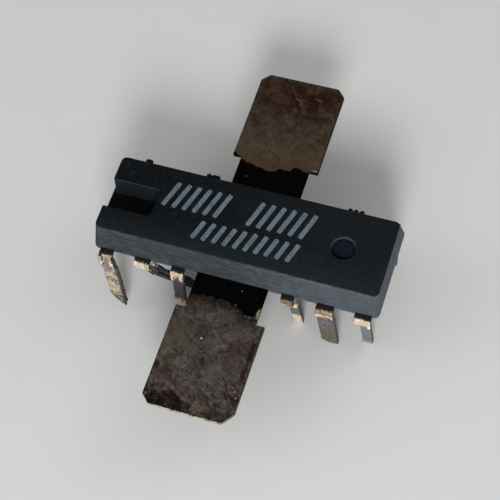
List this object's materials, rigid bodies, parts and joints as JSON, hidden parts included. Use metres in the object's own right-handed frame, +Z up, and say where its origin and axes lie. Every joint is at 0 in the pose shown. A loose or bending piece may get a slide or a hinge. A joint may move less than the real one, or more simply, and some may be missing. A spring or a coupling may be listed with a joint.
{
  "type": "integrated circuit chip",
  "caption": "Black moulded dual in-line chip with a notched end, staggered tinned leads and two wide copper cooling fins.",
  "frame": {"origin": "middle of the box's base, on the surface that the lead tips stand on", "axes": "+X along the body away from the notched end, +Y towards the back fin, +Z up through the marked top face"},
  "size_m": [0.0198, 0.0258, 0.0066],
  "materials": {
    "epoxy": "matt moulded epoxy, blue-black",
    "marking_ink": "worn pale blue-grey ink",
    "fin_copper": "tarnished brown copper",
    "tinned_lead": "tinned, with dull solder left on it",
    "solder": "dull solder",
    "silicon": "polished silicon",
    "gold_wire": "bright gold"
  },
  "bodies": {
    "root": {"molded_body": "epoxy", "heat_fin_frame": "fin_copper", "lead_1": "tinned_lead", "lead_2": "tinned_lead", "lead_3": "tinned_lead", "lead_4": "tinned_lead", "lead_5": "tinned_lead", "lead_6": "tinned_lead", "lead_7": "tinned_lead", "lead_8": "tinned_lead", "lead_9": "tinned_lead", "lead_10": "tinned_lead", "lead_11": "tinned_lead", "lead_12": "tinned_lead", "silicon_die": "silicon", "die_attach_solder": "solder", "bond_wire_1": "gold_wire", "bond_wire_2": "gold_wire", "bond_wire_3": "gold_wire", "bond_wire_4": "gold_wire", "bond_wire_5": "gold_wire", "bond_wire_6": "gold_wire", "bond_wire_7": "gold_wire", "bond_wire_8": "gold_wire", "bond_wire_9": "gold_wire", "bond_wire_10": "gold_wire", "bond_wire_11": "gold_wire", "bond_wire_12": "gold_wire"}
  },
  "joints": []
}
